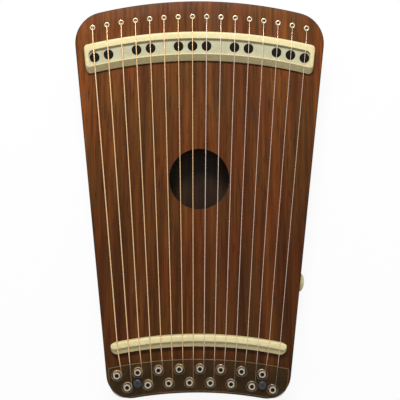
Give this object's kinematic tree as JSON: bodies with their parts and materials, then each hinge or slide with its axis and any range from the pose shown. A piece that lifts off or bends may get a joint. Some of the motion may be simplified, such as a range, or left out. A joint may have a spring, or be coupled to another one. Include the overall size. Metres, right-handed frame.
{
  "type": "chromatic lyre",
  "caption": "Flat wooden lyre with a round sound hole, steel strings over two arched bridges, semitone pads under the strings, and turning pins below a clear cover.",
  "frame": {"origin": "middle of the back face, the plane that the lyre lies on", "axes": "+Z out of the soundboard, +Y along the strings towards their hitched ends, +X across the strings to the thin strings' side"},
  "size_m": [0.2502, 0.3997, 0.0543],
  "materials": {
    "wood_front": "satin lacquered mahogany-like wood, straight grain",
    "wood_side": "satin lacquered mahogany-like wood",
    "ivory": "satin ivory-coloured moulding",
    "pad_black": "matte black rubber",
    "nickel": "nickel-plated brass",
    "pin_steel": "nickel-plated steel, turned",
    "bronze_wire": "bronze-wound wire",
    "steel_wire": "plain steel wire",
    "smoky_clear": "smoke-tinted clear acrylic, polished edges",
    "fastener_black": "black oxide"
  },
  "bodies": {
    "lyre": {"back_board": "wood_side", "bottom_bridge": "ivory", "cover_screw_left": "fastener_black", "cover_screw_right": "fastener_black", "cover_spacer_left": "fastener_black", "cover_spacer_right": "fastener_black", "eyelet_01": "nickel", "eyelet_02": "nickel", "eyelet_03": "nickel", "eyelet_04": "nickel", "eyelet_05": "nickel", "eyelet_06": "nickel", "eyelet_07": "nickel", "eyelet_08": "nickel", "eyelet_09": "nickel", "eyelet_10": "nickel", "eyelet_11": "nickel", "eyelet_12": "nickel", "eyelet_13": "nickel", "eyelet_14": "nickel", "eyelet_15": "nickel", "eyelet_16": "nickel", "frame": "wood_side", "pin_cover": "smoky_clear", "semitone_pad_strip": "pad_black", "soundboard": "wood_front", "strap_button": "ivory", "string_01": "bronze_wire", "string_02": "bronze_wire", "string_03": "bronze_wire", "string_04": "bronze_wire", "string_05": "bronze_wire", "string_06": "bronze_wire", "string_07": "bronze_wire", "string_08": "bronze_wire", "string_09": "steel_wire", "string_10": "steel_wire", "string_11": "steel_wire", "string_12": "steel_wire", "string_13": "steel_wire", "string_14": "steel_wire", "string_15": "steel_wire", "string_16": "steel_wire", "top_bridge": "ivory"},
    "tuning_pin_01": {"tuning_pin_01": "pin_steel"},
    "tuning_pin_02": {"tuning_pin_02": "pin_steel"},
    "tuning_pin_03": {"tuning_pin_03": "pin_steel"},
    "tuning_pin_04": {"tuning_pin_04": "pin_steel"},
    "tuning_pin_05": {"tuning_pin_05": "pin_steel"},
    "tuning_pin_06": {"tuning_pin_06": "pin_steel"},
    "tuning_pin_07": {"tuning_pin_07": "pin_steel"},
    "tuning_pin_08": {"tuning_pin_08": "pin_steel"},
    "tuning_pin_09": {"tuning_pin_09": "pin_steel"},
    "tuning_pin_10": {"tuning_pin_10": "pin_steel"},
    "tuning_pin_11": {"tuning_pin_11": "pin_steel"},
    "tuning_pin_12": {"tuning_pin_12": "pin_steel"},
    "tuning_pin_13": {"tuning_pin_13": "pin_steel"},
    "tuning_pin_14": {"tuning_pin_14": "pin_steel"},
    "tuning_pin_15": {"tuning_pin_15": "pin_steel"},
    "tuning_pin_16": {"tuning_pin_16": "pin_steel"}
  },
  "joints": [
    {"name": "tuning_pin_01_turn", "type": "hinge", "parent": "lyre", "child": "tuning_pin_01", "pos_m": [-0.08113, -0.17468, 0.038], "axis": [0, 0, 1], "continuous": true},
    {"name": "tuning_pin_02_turn", "type": "hinge", "parent": "lyre", "child": "tuning_pin_02", "pos_m": [-0.07082, -0.18644, 0.038], "axis": [0, 0, 1], "continuous": true},
    {"name": "tuning_pin_03_turn", "type": "hinge", "parent": "lyre", "child": "tuning_pin_03", "pos_m": [-0.06052, -0.17144, 0.038], "axis": [0, 0, 1], "continuous": true},
    {"name": "tuning_pin_04_turn", "type": "hinge", "parent": "lyre", "child": "tuning_pin_04", "pos_m": [-0.05022, -0.1837, 0.038], "axis": [0, 0, 1], "continuous": true},
    {"name": "tuning_pin_05_turn", "type": "hinge", "parent": "lyre", "child": "tuning_pin_05", "pos_m": [-0.03991, -0.16921, 0.038], "axis": [0, 0, 1], "continuous": true},
    {"name": "tuning_pin_06_turn", "type": "hinge", "parent": "lyre", "child": "tuning_pin_06", "pos_m": [-0.02961, -0.18197, 0.038], "axis": [0, 0, 1], "continuous": true},
    {"name": "tuning_pin_07_turn", "type": "hinge", "parent": "lyre", "child": "tuning_pin_07", "pos_m": [-0.01931, -0.16798, 0.038], "axis": [0, 0, 1], "continuous": true},
    {"name": "tuning_pin_08_turn", "type": "hinge", "parent": "lyre", "child": "tuning_pin_08", "pos_m": [-0.009, -0.18123, 0.038], "axis": [0, 0, 1], "continuous": true},
    {"name": "tuning_pin_09_turn", "type": "hinge", "parent": "lyre", "child": "tuning_pin_09", "pos_m": [0.0013, -0.16773, 0.038], "axis": [0, 0, 1], "continuous": true},
    {"name": "tuning_pin_10_turn", "type": "hinge", "parent": "lyre", "child": "tuning_pin_10", "pos_m": [0.01161, -0.18148, 0.038], "axis": [0, 0, 1], "continuous": true},
    {"name": "tuning_pin_11_turn", "type": "hinge", "parent": "lyre", "child": "tuning_pin_11", "pos_m": [0.02191, -0.16847, 0.038], "axis": [0, 0, 1], "continuous": true},
    {"name": "tuning_pin_12_turn", "type": "hinge", "parent": "lyre", "child": "tuning_pin_12", "pos_m": [0.03221, -0.18271, 0.038], "axis": [0, 0, 1], "continuous": true},
    {"name": "tuning_pin_13_turn", "type": "hinge", "parent": "lyre", "child": "tuning_pin_13", "pos_m": [0.04252, -0.1702, 0.038], "axis": [0, 0, 1], "continuous": true},
    {"name": "tuning_pin_14_turn", "type": "hinge", "parent": "lyre", "child": "tuning_pin_14", "pos_m": [0.05282, -0.18494, 0.038], "axis": [0, 0, 1], "continuous": true},
    {"name": "tuning_pin_15_turn", "type": "hinge", "parent": "lyre", "child": "tuning_pin_15", "pos_m": [0.06312, -0.17294, 0.038], "axis": [0, 0, 1], "continuous": true},
    {"name": "tuning_pin_16_turn", "type": "hinge", "parent": "lyre", "child": "tuning_pin_16", "pos_m": [0.07343, -0.18818, 0.038], "axis": [0, 0, 1], "continuous": true}
  ]
}
